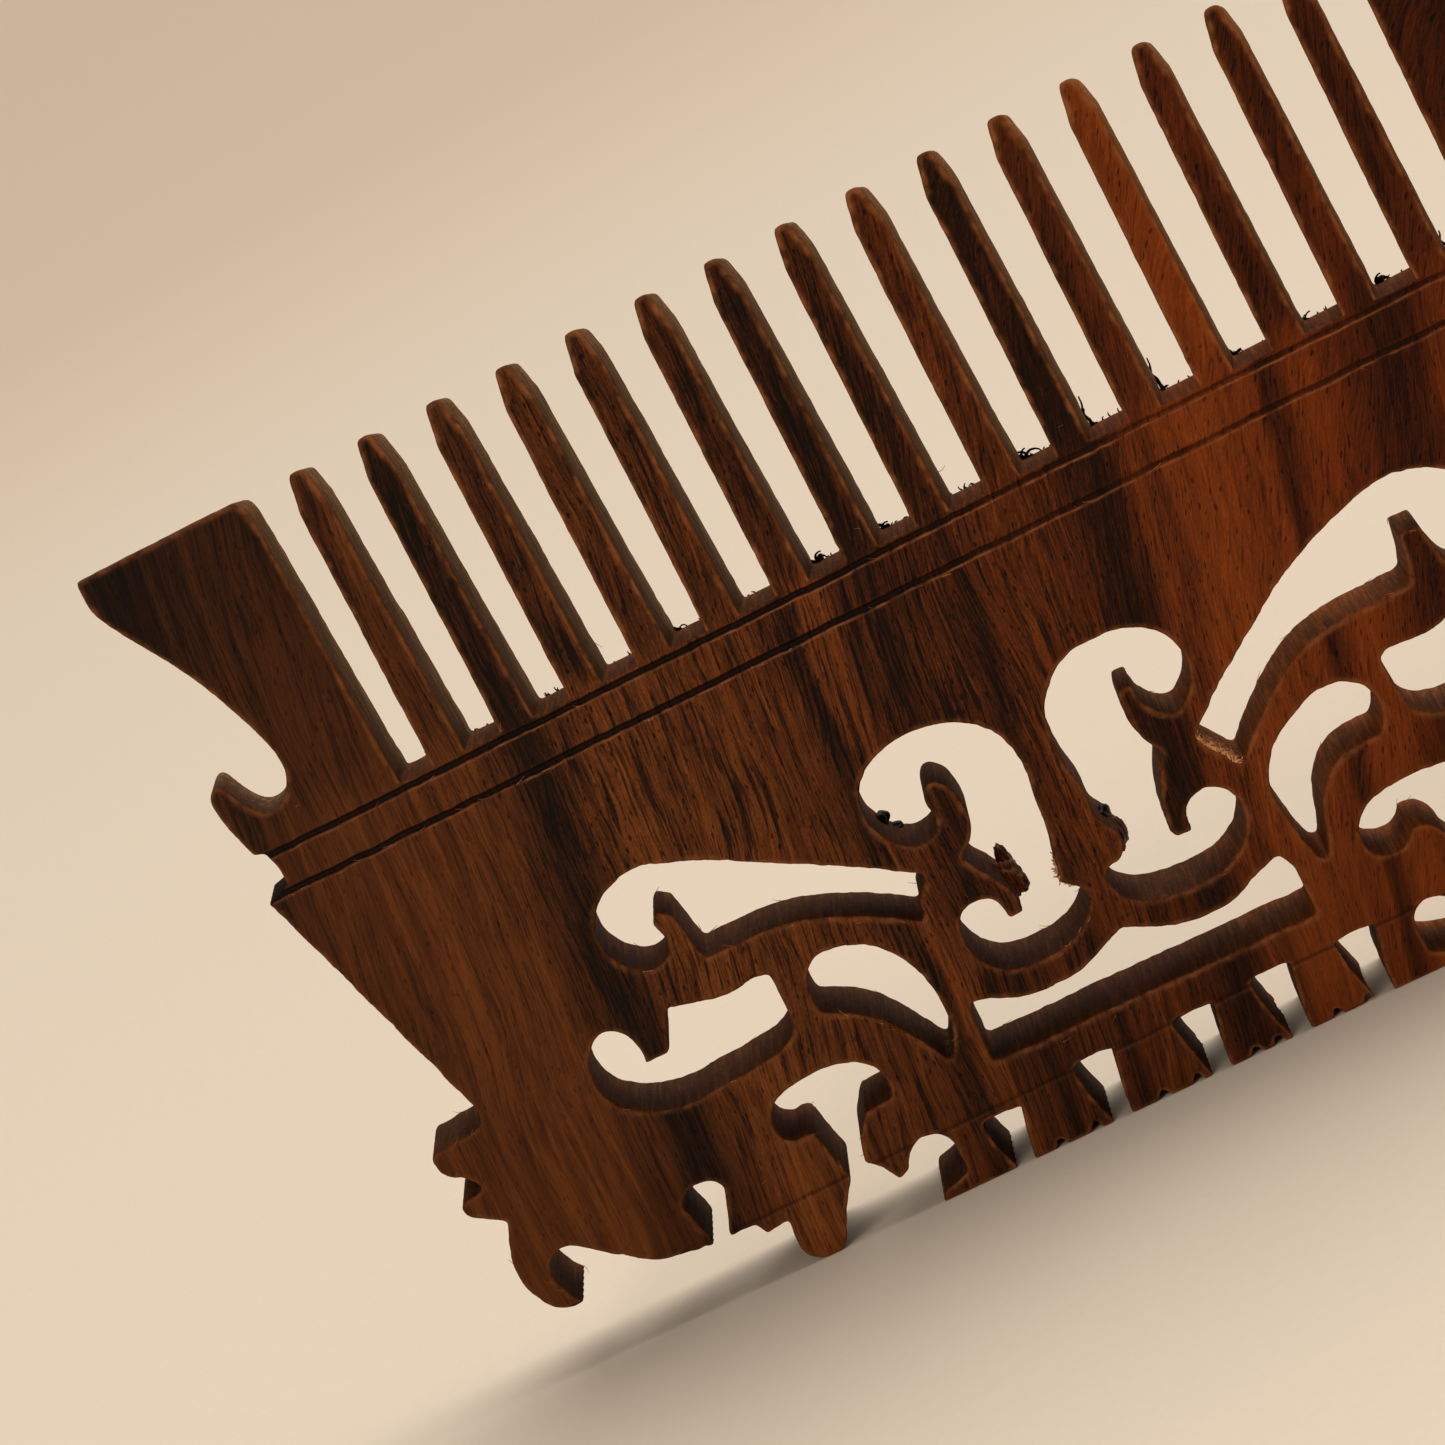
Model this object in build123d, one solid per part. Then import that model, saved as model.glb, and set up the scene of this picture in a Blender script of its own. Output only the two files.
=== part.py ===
from build123d import *
import os

# Decorative hair comb, sawn and carved from one rosewood board.
# Millimetres. X runs along the comb, Y through its thickness, Z along the teeth, tips up.
# The comb stands on its carved back edge: Z = 0 is the flat bottom of the base blocks.
# Outlines are drawn as (x, z) on the front face, with z measured from the gullet line,
# the level where the gaps between the teeth end. An outline is a list of runs. Runs meet
# at corners, each run ends where the next one begins, and a run of one point is straight.

gullet_height = 48.6       # gullet line above the flat bottom of the base blocks
tooth_count = 15
tooth_pitch = 6.0
tooth_root_half = 1.45     # half the width of a tooth at the gullet line
tooth_neck_half = 1.22     # half the width where the point begins
tooth_neck = 22.2          # height of that level above the gullet line
tooth_tip_half = 0.65      # half the width of the blunt tip
tooth_length = 25.4
tip_fall = 0.8             # the sawn tips are this much lower at the back than at the front

base_thickness = 9.7       # board thickness at Z = 0
taper = 0.0778             # thickness lost for each millimetre of height

rail_groove_levels = (-0.6, -3.65)
rail_groove_width = 0.7
base_line_level = -43.4
base_line_width = 0.4
groove_reach = 130.0       # length of the groove cutters, past both ends of the comb

saw_lean = -0.09           # sideways drift of the fretsaw for each millimetre of depth
saw_face = -4.3            # depth at which a sawn outline is true to its drawing
middle_shift = saw_lean * saw_face    # brings the middle of the leaning outline to X = 0
reach = 8.0                # half depth of every cutter, clear of both faces
carving_axis = -1.2        # the lower carving mirrors about this x
waist = 62.0               # half width of the regions that span the whole board

block_bottom = -48.6
slot_top_width = 3.5
slot_bottom_width = 1.5
slot_centres = ((-16.7, -44.2), (-8.3, -43.1), (0.3, -43.4), (7.1, -43.0), (14.2, -43.2))
nick_places = (-13.5, -10.5, -4.6, -1.7, 3.4, 5.3, 10.3, 12.9)
nick_width = 0.9
nick_depth = 0.7


def edge(points):
    """One edge through the points: straight for two points, smooth for more."""
    places = [Vector(x, -reach, z) for x, z in points]
    if len(places) == 2:
        return Line(*places)
    return Spline(*places)


def prism(runs, lean=0.0):
    """Solid that goes through the whole board inside an outline."""
    shift = lean * (-reach - saw_face)
    shifted = [[(x + shift, z) for x, z in points] for points in runs]
    following = shifted[1:] + shifted[:1]
    edges = [edge(points + after[:1]) for points, after in zip(shifted, following)]
    path = 2 * reach * Vector(lean, 1, 0)
    return extrude(Face(Wire(edges)), amount=path.length, dir=path.normalized())


def polygon(points, lean=0.0):
    return prism([[point] for point in points], lean)


def mirrored(runs, axis):
    return [[(2 * axis - x, z) for x, z in points] for points in runs]


def moved(runs, dx, dz):
    return [[(x + dx, z + dz) for x, z in points] for points in runs]


# ---- the board's section and its scribed lines ----

def slab(corners):
    """Solid along X with the section through these (y, z) corners."""
    places = [Vector(-groove_reach / 2, y, z) for y, z in corners]
    lines = [Line(a, b) for a, b in zip(places, places[1:] + places[:1])]
    return extrude(Face(Wire(lines)), amount=groove_reach, dir=(1, 0, 0))


def half_thickness(level):
    """Thick at the carved back, thin at the tips."""
    return (base_thickness - taper * (level + gullet_height)) / 2


def board_slab():
    low, high = half_thickness(block_bottom), half_thickness(0)
    return slab([(-low, block_bottom), (low, block_bottom), (high, 0), (-high, 0)])


def tooth_slab():
    """The slab above the gullet line, with its sloping sawn top."""
    low, high = half_thickness(0), half_thickness(tooth_length)
    back_top = tooth_length - tip_fall
    return slab([(-low, 0), (low, 0), (high, back_top), (-high, tooth_length)])


def scribed_line(level, width):
    """Two V-shaped cutters, one for each face, along the whole comb."""
    half = half_thickness(level)
    side = width / 2 ** 0.5
    cutter = Rot(45, 0, 0) * Box(groove_reach, side, side)
    return Pos(0, -half, level) * cutter + Pos(0, half, level) * cutter


# ---- teeth and end guards, above the gullet line ----

def tooth_runs(centre):
    half = [(tooth_root_half, 0), (tooth_neck_half, tooth_neck), (tooth_tip_half, tooth_length)]
    right = [(centre + x, z) for x, z in half]
    left = [(centre - x, z) for x, z in reversed(half)]
    return [[point] for point in right + left]


def guard_cut(side):
    """What the straight cut beside the first tooth leaves for a guard, on side -1 or 1."""
    corners = [(46.35, 0), (46.6, 23.8), (47.2, tooth_length), (waist + 2, tooth_length),
               (waist + 2, 0)]
    return polygon([(side * x, z) for x, z in corners])


def guard_runs():
    """Flared end guard with the upturned hook at its foot."""
    return [
        [(-45.0, 0)],
        [(-45.0, tooth_length)],
        [(-61.2, tooth_length)],
        [(-61.25, 22.9), (-60.3, 20.8), (-57.7, 16.5), (-55.7, 12.4), (-54.2, 8.3), (-53.7, 5.8)],
        [(-53.8, 4.8), (-54.4, 3.6), (-55.4, 2.7), (-56.5, 2.6), (-57.5, 3.4), (-58.2, 4.6)],
        [(-58.6, 5.6), (-59.3, 6.2), (-60.0, 5.7), (-60.2, 4.2), (-59.8, 2.2)],
        [(-59.2, 0)],
    ]


# ---- outer outline of the board, below the gullet line ----

def side_runs():
    """Left end from the gullet line down to the foot: waist notch, straight flank, ear, foot."""
    return [
        [(-59.2, 0)],
        [(-58.6, -0.3), (-58.15, -1.0), (-57.9, -2.2), (-58.1, -3.2), (-58.9, -3.6)],
        [(-59.95, -3.9)],
        [(-53.3, -25.9)],
        [(-53.6, -27.1)],
        [(-57.2, -27.5), (-58.5, -28.1), (-58.3, -29.3)],
        [(-57.0, -30.1)],
        [(-55.8, -31.7)],
        [(-57.6, -32.0), (-58.3, -32.7), (-57.4, -33.8)],
        [(-55.5, -35.0), (-56.7, -38.0), (-56.8, -40.6), (-55.5, -42.8)],
        [(-53.1, -43.5), (-54.2, -41.6), (-54.2, -39.6), (-52.7, -38.8)],
    ]


def foot_runs():
    """Left bottom edge from the foot to the first base block: belly, leg and round notch."""
    return [
        [(-51.9, -39.0), (-49.3, -40.9), (-46.7, -42.8), (-44.0, -43.5)],
        [(-41.9, -43.75)],
        [(-38.05, -43.75)],
        [(-37.5, -44.8)],
        [(-35.5, -44.6)],
        [(-35.8, -46.6), (-35.2, -48.1)],
        [(-34.2, -48.6)],
        [(-32.7, -48.6)],
        [(-32.1, -47.8), (-30.7, -45.3)],
        [(-29.4, -43.4)],
        [(-28.0, -43.1)],
        [(-27.1, -43.9)],
        [(-26.1, -45.5)],
        [(-25.1, -45.0), (-24.3, -43.8), (-22.9, -43.2), (-21.6, -43.7)],
        [(-21.1, -44.8)],
        [(-21.1, -47.1)],
        [(-22.2, -47.6)],
        [(-23.5, -47.9)],
        [(-23.9, block_bottom)],
    ]


def board_runs():
    left = side_runs() + foot_runs()
    right_foot = mirrored(foot_runs(), carving_axis)
    right_side = mirrored(side_runs(), 0)
    return left + backwards(right_side, right_foot)


def backwards(side, foot):
    """The right end, from the base blocks up to the gullet line, as runs in walking order."""
    corners = side + foot
    firsts = [points[0] for points in corners]
    result = []
    for index in range(len(corners) - 1, 0, -1):
        middle = corners[index - 1][:0:-1]
        result.append([firsts[index]] + middle)
    result.append([firsts[0]])
    return result


def base_slot(centre, top):
    """Dovetail slot between two base blocks, wide at its top."""
    upper = slot_top_width / 2
    lower = slot_bottom_width / 2
    return prism([
        [(centre - upper, top - 0.1), (centre, top + 0.1)],
        [(centre + upper, top - 0.1), (centre + lower + 0.4, (top + block_bottom) / 2)],
        [(centre + lower, block_bottom)],
        [(centre + lower, block_bottom - 1)],
        [(centre - lower, block_bottom - 1)],
        [(centre - lower, block_bottom), (centre - lower - 0.7, (top + block_bottom) / 2)],
    ], saw_lean)


def nick(centre):
    half = nick_width / 2
    return polygon([
        (centre - half, block_bottom - 1),
        (centre - half, block_bottom),
        (centre - 0.15, block_bottom + nick_depth),
        (centre + 0.15, block_bottom + nick_depth),
        (centre + half, block_bottom),
        (centre + half, block_bottom - 1),
    ])


# ---- fretsawn openings of the left half ----

def leaf_left():
    return [
        [(-38.3, -18.2), (-37.6, -16.1), (-35.5, -14.5), (-33.1, -14.05), (-30.5, -14.8),
         (-27.7, -16.0), (-23.1, -18.5), (-16.9, -22.1)],
        [(-13.15, -24.5)],
        [(-14.5, -26.2)],
        [(-14.9, -27.9), (-16.7, -26.5), (-19.5, -25.0), (-22.3, -23.8), (-26.0, -23.0)],
        [(-31.4, -23.0), (-31.9, -20.5)],
        [(-32.2, -18.6)],
        [(-33.2, -17.8)],
        [(-33.95, -18.7), (-33.6, -20.2), (-34.1, -21.4), (-35.5, -21.8), (-37.2, -20.8)],
    ]


def boot_left():
    return [
        [(-42.9, -25.4), (-41.8, -24.75), (-40.3, -25.3), (-39.5, -27.0)],
        [(-39.6, -28.3)],
        [(-37.7, -28.4)],
        [(-36.0, -25.1), (-34.0, -25.7), (-31.0, -26.2), (-28.6, -26.0)],
        [(-27.6, -26.3)],
        [(-27.8, -30.4), (-28.8, -31.7), (-31.5, -32.3), (-35.5, -32.6), (-38.9, -32.6),
         (-41.7, -31.7), (-43.5, -30.0), (-44.0, -28.2), (-43.7, -26.6)],
    ]


def comma_left():
    return [
        [(-25.3, -30.9), (-25.5, -28.8), (-24.3, -26.8), (-22.0, -26.6), (-19.6, -27.6),
         (-17.6, -30.1), (-16.75, -33.4), (-17.0, -36.4)],
        [(-18.1, -38.8), (-19.2, -36.7), (-20.8, -34.2), (-22.8, -32.2)],
    ]


def scroll_left():
    return [
        [(-4.2, -29.6), (-3.6, -27.8), (-3.15, -25.0), (-2.65, -21.5), (-2.6, -18.6),
         (-3.6, -16.4), (-5.6, -14.8), (-7.9, -14.1), (-10.4, -14.0), (-13.0, -14.8),
         (-14.8, -16.6), (-15.2, -18.6), (-14.4, -20.7), (-12.8, -22.1)],
        [(-10.7, -21.7)],
        [(-10.35, -20.3), (-10.35, -18.9), (-9.6, -18.1), (-8.6, -18.6), (-7.95, -20.3),
         (-8.1, -22.1)],
        [(-10.0, -24.5), (-8.9, -26.4), (-7.9, -28.2)],
        [(-7.7, -30.4)],
        [(-8.9, -30.5)],
        [(-9.1, -29.1), (-10.0, -28.2), (-11.3, -28.15), (-12.4, -28.9), (-12.9, -30.4),
         (-12.5, -32.3), (-11.1, -33.9), (-8.7, -34.5), (-6.0, -34.3), (-4.0, -33.3)],
        [(-2.7, -31.9)],
        [(-2.75, -30.8)],
    ]


def boat():
    """Long opening over the base rail, with two arches along its top."""
    return [
        [(-14.7, -35.2), (-13.1, -35.6), (-11.3, -36.4), (-8.5, -36.8), (-5.5, -36.5),
         (-3.2, -35.6)],
        [(-1.6, -34.9), (0.2, -35.7), (2.2, -36.6), (5.0, -37.0), (8.0, -36.5),
         (10.5, -35.4)],
        [(11.8, -35.1)],
        [(12.4, -36.6)],
        [(12.4, -40.6)],
        [(-15.3, -40.2)],
        [(-15.1, -36.6)],
    ]


def tee_left():
    """Hooked T opening. Its stem leaves the board between the leg and the round notch."""
    return [
        [(-33.1, -37.8), (-32.6, -36.2), (-31.5, -35.3), (-29.3, -34.95), (-26.9, -34.85),
         (-25.0, -35.5), (-23.7, -36.7), (-23.4, -38.2)],
        [(-23.7, -39.3)],
        [(-26.1, -39.4), (-26.8, -40.2)],
        [(-28.0, -43.1)],
        [(-28.3, -44.6)],
        [(-29.6, -44.6)],
        [(-29.6, -43.4), (-29.9, -41.9)],
        [(-30.5, -39.3)],
        [(-31.2, -39.0), (-32.4, -38.9)],
    ]


def end_slot_left():
    """Wide slot between the foot's belly and the leg."""
    return [
        [(-42.4, -40.5), (-42.2, -39.4), (-41.3, -38.9), (-40.0, -38.9), (-39.1, -39.5)],
        [(-38.9, -40.1)],
        [(-40.3, -43.8)],
        [(-40.4, -44.6)],
        [(-41.5, -44.6)],
        [(-41.6, -43.8)],
    ]


# ---- fretsawn openings of the right half, each sawn a little differently ----

def leaf_right():
    return [
        [(10.2, -23.9), (12.8, -21.8), (17.6, -18.4), (22.4, -15.4), (28.0, -13.1),
         (32.4, -12.3), (35.8, -13.4), (37.9, -15.6), (38.3, -18.0), (37.3, -20.2)],
        [(35.5, -21.4), (34.0, -21.0), (33.2, -19.6)],
        [(32.7, -16.8)],
        [(31.1, -16.7)],
        [(30.2, -20.5), (27.5, -20.6), (24.0, -20.7), (20.4, -21.5), (17.0, -23.5),
         (14.2, -25.8)],
        [(12.6, -27.5)],
    ]


def comma_right():
    return [
        [(13.6, -31.2), (14.1, -28.9), (15.9, -26.8), (18.9, -25.2), (21.8, -24.9),
         (23.5, -26.1), (23.9, -28.0)],
        [(22.9, -30.0), (20.6, -30.0), (18.3, -30.9), (16.7, -32.8), (15.9, -35.0)],
        [(15.2, -37.0)],
        [(14.5, -36.8), (13.9, -34.2)],
    ]


def scroll_right():
    return [
        [(0.8, -17.2), (2.0, -15.5), (4.2, -14.0), (7.0, -13.6), (9.8, -14.2),
         (11.8, -15.8), (12.4, -17.8), (11.8, -20.1)],
        [(9.9, -21.6), (8.7, -21.0), (7.9, -19.6)],
        [(7.8, -18.1)],
        [(6.8, -18.0), (6.35, -19.6), (6.5, -21.8)],
        [(7.5, -23.8), (6.5, -25.4), (5.7, -27.6)],
        [(5.2, -29.7)],
        [(5.5, -30.4)],
        [(6.8, -30.5), (6.9, -29.2), (7.7, -28.2), (8.9, -27.9), (10.2, -28.4),
         (10.95, -29.8), (10.7, -31.8), (9.2, -33.5), (6.6, -34.4), (3.6, -34.4),
         (1.2, -33.8)],
        [(-0.4, -32.6), (-0.5, -30.4)],
        [(0.8, -30.1), (1.5, -29.3), (1.6, -28.3), (1.2, -27.2), (0.7, -26.2),
         (0.75, -24.2), (0.45, -21.6), (0.45, -19.4)],
    ]


def boot_right():
    """The left boot in a mirror, sawn higher up."""
    return moved(mirrored(boot_left(), carving_axis), 0.3, 1.7)


def tee_right():
    return [
        [(18.0, -37.4), (18.3, -35.9), (19.6, -34.6), (22.0, -34.0), (25.0, -34.0),
         (28.0, -34.7), (30.2, -36.2), (30.9, -37.9)],
        [(30.0, -38.9), (28.7, -39.0)],
        [(28.0, -39.3)],
        [(27.4, -41.9), (27.2, -43.4)],
        [(27.2, -44.6)],
        [(25.8, -44.6)],
        [(25.6, -43.1)],
        [(24.1, -40.2), (23.0, -38.0)],
        [(21.6, -37.7), (20.6, -38.8), (19.2, -38.8)],
    ]


def end_slot_right():
    return mirrored(end_slot_left(), carving_axis)


def carve_board():
    """The whole board below the gullet line, with its openings, slots and scribed lines."""
    board = prism(board_runs(), saw_lean) & board_slab()
    left = (leaf_left(), boot_left(), comma_left(), scroll_left(), tee_left(), end_slot_left())
    right = (leaf_right(), boot_right(), comma_right(), scroll_right(), tee_right(),
             end_slot_right())
    for runs in left + right + (boat(),):
        board -= prism(runs, saw_lean)
    for centre, top in slot_centres:
        board -= base_slot(centre, top)
    for centre in nick_places:
        board -= nick(centre)
    for level in rail_groove_levels:
        board -= scribed_line(level, rail_groove_width)
    return board - scribed_line(base_line_level, base_line_width)


# ---- natural regions of the carved board ----
# Each region takes what lies inside its polygon from what is left of the board, in this
# order. Between two necks of wood the polygons run through the openings.

def shared_regions():
    return {
        "bead_rail": [(-waist, -3.65), (waist, -3.65), (waist, 1), (-waist, 1)],
        "upper_panel": [
            (-waist, -3), (-waist, -16.2), (-36.5, -16.6), (-27, -19.5), (-20, -22.6),
            (-14.1, -25), (-12.3, -21.3), (-12.5, -18), (-11, -16), (-6, -16.2),
            (-3.6, -18), (1.3, -17.6), (3, -15.8), (9, -15.3), (11.5, -17.5),
            (11.0, -20.6), (11.3, -23.6), (14, -22.8), (20, -18.8), (28, -15.8),
            (34, -15), (37.2, -17.4), (waist, -17.4), (waist, -3),
        ],
        "centre_bar": [
            (-4.6, -19), (-5.2, -29.8), (-4.6, -31.4), (-3.2, -32.0), (-1.6, -35.5),
            (0.4, -32.6), (2.2, -30.6), (2.4, -20), (1.3, -17), (-3.6, -17),
        ],
    }


def left_regions():
    return {
        "stile_left": [(-waist, -16), (-46.5, -16), (-46.5, -44.5), (-waist, -44.5)],
        "leaf_bar_left": [
            (-36.6, -21.0), (-41.0, -25.6), (-41.0, -27.5), (-39.5, -29.6), (-37.2, -29.6),
            (-35.5, -27.4), (-28.2, -27.2), (-24.8, -28.2), (-22.0, -28.4), (-18.5, -30.2),
            (-15.2, -27.0), (-17.0, -25.4), (-27.0, -20.8), (-30.8, -19.5), (-31.4, -17.8),
            (-33.2, -16.8), (-34.8, -18.4),
        ],
        "corner_left": [
            (-46.5, -16), (-37.1, -16), (-36.6, -21.0), (-41.0, -25.6), (-43.2, -28),
            (-46.5, -28),
        ],
        "scroll_left": [
            (-14.9, -26.8), (-11.8, -29.7), (-10.5, -31.0), (-8.3, -31.4), (-6.6, -30.2),
            (-6.6, -18.2), (-9.2, -17.0), (-11.3, -18.4), (-12.3, -21.3), (-14.1, -25),
        ],
        "cradle_left": [
            (-12.2, -31.3), (-14.4, -36.0), (-11.0, -38.4), (-1.6, -38.0), (-1.6, -35.5),
            (-3.2, -32.0), (-5.5, -33.2), (-9.0, -33.4),
        ],
        "pillar_left": [
            (-18.5, -30.2), (-15.2, -27.0), (-11.8, -29.7), (-12.2, -31.3), (-14.4, -36.0),
            (-14.6, -39.6), (-18.0, -38.0), (-17.8, -35.0),
        ],
        "lower_bar_left": [
            (-46.5, -28), (-43.2, -28), (-42.0, -30.4), (-37.0, -31.4), (-29.0, -30.8),
            (-28.2, -27.2), (-24.8, -28.2), (-24.7, -30.6), (-25.4, -36.2), (-32.4, -37.4),
            (-39.8, -40.2), (-41.9, -40.2), (-46.5, -40.2),
        ],
        "belly_left": [(-46.5, -40.2), (-41.2, -40.2), (-41.2, -44.5), (-46.5, -44.5)],
        "leg_left": [
            (-40.0, -40.2), (-32.4, -37.4), (-28.9, -38.4), (-28.7, -44.0), (-31.0, -49.6),
            (-40.6, -49.6),
        ],
        "tee_block_left": [
            (-25.4, -36.2), (-24.7, -30.6), (-22.0, -31.0), (-19.4, -34.6), (-18.0, -38.0),
            (-18.0, -43.4), (-22.6, -43.4), (-24.2, -46.0), (-28.7, -46.0), (-28.7, -38.4),
            (-25.0, -38.2),
        ],
    }


def right_regions():
    return {
        "stile_right": [(waist, -17), (46.5, -17), (46.5, -44.5), (waist, -44.5)],
        "leaf_bar_right": [
            (35.9, -20.8), (38.9, -24.2), (38.9, -25.8), (37.4, -27.9), (35.1, -27.9),
            (33.4, -25.7), (26.1, -25.5), (23.0, -27.2), (20.0, -27.0), (15.1, -29.4),
            (12.8, -26.6), (14.4, -24.6), (20.4, -20.4), (28.0, -18.6), (30.0, -16.6),
            (32.0, -15.6), (34.2, -17.6),
        ],
        "corner_right": [
            (46.5, -17), (37.5, -17), (35.9, -20.8), (38.9, -24.2), (41.1, -26.3),
            (46.5, -26.3),
        ],
        "scroll_right": [
            (12.4, -26.7), (10.0, -29.9), (8.5, -31.2), (4.6, -31.2), (4.2, -28),
            (5.4, -24), (5.3, -19), (6.2, -17.0), (8.3, -17.2), (9.2, -19.4),
            (11.0, -20.6), (11.3, -23.6),
        ],
        "cradle_right": [
            (10.3, -31.4), (12.0, -36.2), (9.0, -38.4), (-1.6, -38.0), (-1.6, -35.5),
            (0.4, -32.6), (3.4, -33.4), (7.0, -33.4),
        ],
        "pillar_right": [
            (15.1, -29.4), (12.8, -26.6), (10.0, -29.9), (10.3, -31.4), (12.0, -36.2),
            (12.0, -40.0), (15.0, -36.2), (14.8, -33.0),
        ],
        "lower_bar_right": [
            (46.5, -26.3), (41.1, -26.3), (40.0, -28.7), (35.0, -29.8), (26.9, -29.2),
            (26.1, -25.5), (23.0, -27.2), (22.6, -29.4), (23.0, -35.6), (30.0, -37.4),
            (37.4, -40.2), (39.5, -40.2), (46.5, -40.2),
        ],
        "belly_right": [(46.5, -40.2), (38.8, -40.2), (38.8, -44.5), (46.5, -44.5)],
        "leg_right": [
            (37.6, -40.2), (30.0, -37.4), (26.5, -38.4), (26.3, -44.0), (28.6, -49.6),
            (38.2, -49.6),
        ],
        "tee_block_right": [
            (23.0, -35.6), (22.6, -29.4), (19.0, -29.6), (16.2, -33.0), (15.0, -36.2),
            (15.0, -43.4), (20.2, -43.4), (21.8, -46.0), (26.3, -46.0), (26.3, -38.4),
            (23.4, -37.0), (19.4, -36.6),
        ],
    }


def base_regions():
    """The rail under the long opening, and the blocks below the base line."""
    regions = {"base_rail": [(-18, -37.9), (-18, -43.4), (15, -43.4), (15, -36.1)]}
    ends = [-24.2] + [centre for centre, top in slot_centres] + [22.0]
    for index in range(len(ends) - 1):
        low, high = ends[index], ends[index + 1]
        name = f"base_block_{index + 1}"
        regions[name] = [(low, -43.4), (high, -43.4), (high, -49.6), (low, -49.6)]
    return regions


# ---- every node, one STEP each ----

def save(name, solid):
    export_step(Pos(middle_shift, 0, gullet_height) * solid, f"parts/{name}.step")


def save_teeth():
    teeth = tooth_slab()
    for index in range(tooth_count):
        centre = (index - (tooth_count - 1) / 2) * tooth_pitch
        save(f"tooth_{index + 1:02d}", prism(tooth_runs(centre)) & teeth)
    save("guard_left", prism(guard_runs(), saw_lean) & guard_cut(-1) & teeth)
    save("guard_right", prism(mirrored(guard_runs(), 0), saw_lean) & guard_cut(1) & teeth)


def save_board():
    rest = carve_board()
    regions = {**shared_regions(), **left_regions(), **right_regions(), **base_regions()}
    for name, points in regions.items():
        cutter = polygon(points, saw_lean)
        save(name, rest & cutter)
        rest -= cutter


os.makedirs("parts", exist_ok=True)
save_teeth()
save_board()
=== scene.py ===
import bmesh
import bpy
import math
import numpy as np
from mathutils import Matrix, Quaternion, Vector


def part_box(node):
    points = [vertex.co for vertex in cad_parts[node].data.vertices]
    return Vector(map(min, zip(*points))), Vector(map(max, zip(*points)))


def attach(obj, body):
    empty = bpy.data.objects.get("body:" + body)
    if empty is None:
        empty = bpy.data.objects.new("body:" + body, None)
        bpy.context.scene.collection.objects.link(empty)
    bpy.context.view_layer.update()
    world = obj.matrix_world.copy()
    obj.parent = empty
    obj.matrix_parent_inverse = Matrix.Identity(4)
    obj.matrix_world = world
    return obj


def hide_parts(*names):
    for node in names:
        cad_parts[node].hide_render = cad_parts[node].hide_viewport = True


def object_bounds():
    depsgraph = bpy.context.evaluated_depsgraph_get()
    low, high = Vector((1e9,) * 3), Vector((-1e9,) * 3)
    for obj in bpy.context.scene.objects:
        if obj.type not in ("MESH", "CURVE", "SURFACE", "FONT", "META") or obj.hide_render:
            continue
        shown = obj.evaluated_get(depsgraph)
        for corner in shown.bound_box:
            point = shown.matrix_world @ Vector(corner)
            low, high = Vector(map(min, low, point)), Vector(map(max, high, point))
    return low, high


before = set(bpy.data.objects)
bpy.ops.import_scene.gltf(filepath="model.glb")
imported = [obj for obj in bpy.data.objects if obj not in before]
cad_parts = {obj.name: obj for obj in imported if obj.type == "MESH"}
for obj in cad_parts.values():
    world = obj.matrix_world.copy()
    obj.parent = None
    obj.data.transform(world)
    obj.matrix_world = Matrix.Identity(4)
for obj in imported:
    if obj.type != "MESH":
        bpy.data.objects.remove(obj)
cad_low, cad_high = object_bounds()

# Looks of the carved rosewood comb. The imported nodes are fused, remeshed finely, worn along
# their edges and cut again into pieces. Shaping works in comb millimetres: x from the middle
# tooth, y through the thickness, z up from the gullet line where the gaps between teeth end.

MM = 0.001
CUT_MARGIN = 1.3                       # how far a slab runs past its levels before it is cut
PIECE_MARGIN = 0.6                     # the same for a piece cut out of a slab
TOOTH_COUNT = 15
TOOTH_NAMES = [f"tooth_{index:02d}" for index in range(1, TOOTH_COUNT + 1)]

tooth_boxes = [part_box(name) for name in TOOTH_NAMES]
tooth_centres = [(low.x + high.x) / 2 for low, high in tooth_boxes]
pitch = (tooth_centres[-1] - tooth_centres[0]) / (TOOTH_COUNT - 1)
origin = np.array([tooth_centres[TOOTH_COUNT // 2], 0.0, tooth_boxes[0][0].z])
top_level = (cad_high.z - origin[2]) / MM
bottom_level = -origin[2] / MM
rail_groove = (-0.6, -3.65)            # levels of the two scribed lines under the teeth
base_line = -43.4                      # level of the scribed line above the base blocks
saw_lean = -0.09                       # sideways drift of the fretsaw per millimetre of depth


# ---- repeatable noise on arrays of points ----

def lattice_noise(points, cell, seed):
    """Smooth noise from -1 to 1 with features about one cell long."""
    random = np.random.default_rng(seed)
    shuffle = random.permutation(256)
    values = random.uniform(-1, 1, 256)
    scaled = points / cell
    base = np.floor(scaled).astype(np.int64)
    part = scaled - base
    part = part * part * (3 - 2 * part)
    total = np.zeros(len(points))
    for corner in range(8):
        step = np.array([corner & 1, corner >> 1 & 1, corner >> 2 & 1])
        place = base + step
        weight = np.where(step == 1, part, 1 - part).prod(axis=1)
        index = shuffle[place[:, 0] & 255]
        index = shuffle[(index + place[:, 1]) & 255]
        index = shuffle[(index + place[:, 2]) & 255]
        total += weight * values[index]
    return total


def ramp(values, low, high):
    """0 below low, 1 above high, smooth between."""
    t = np.clip((values - low) / (high - low), 0, 1)
    return t * t * (3 - 2 * t)


# ---- the fused board ----

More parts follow.
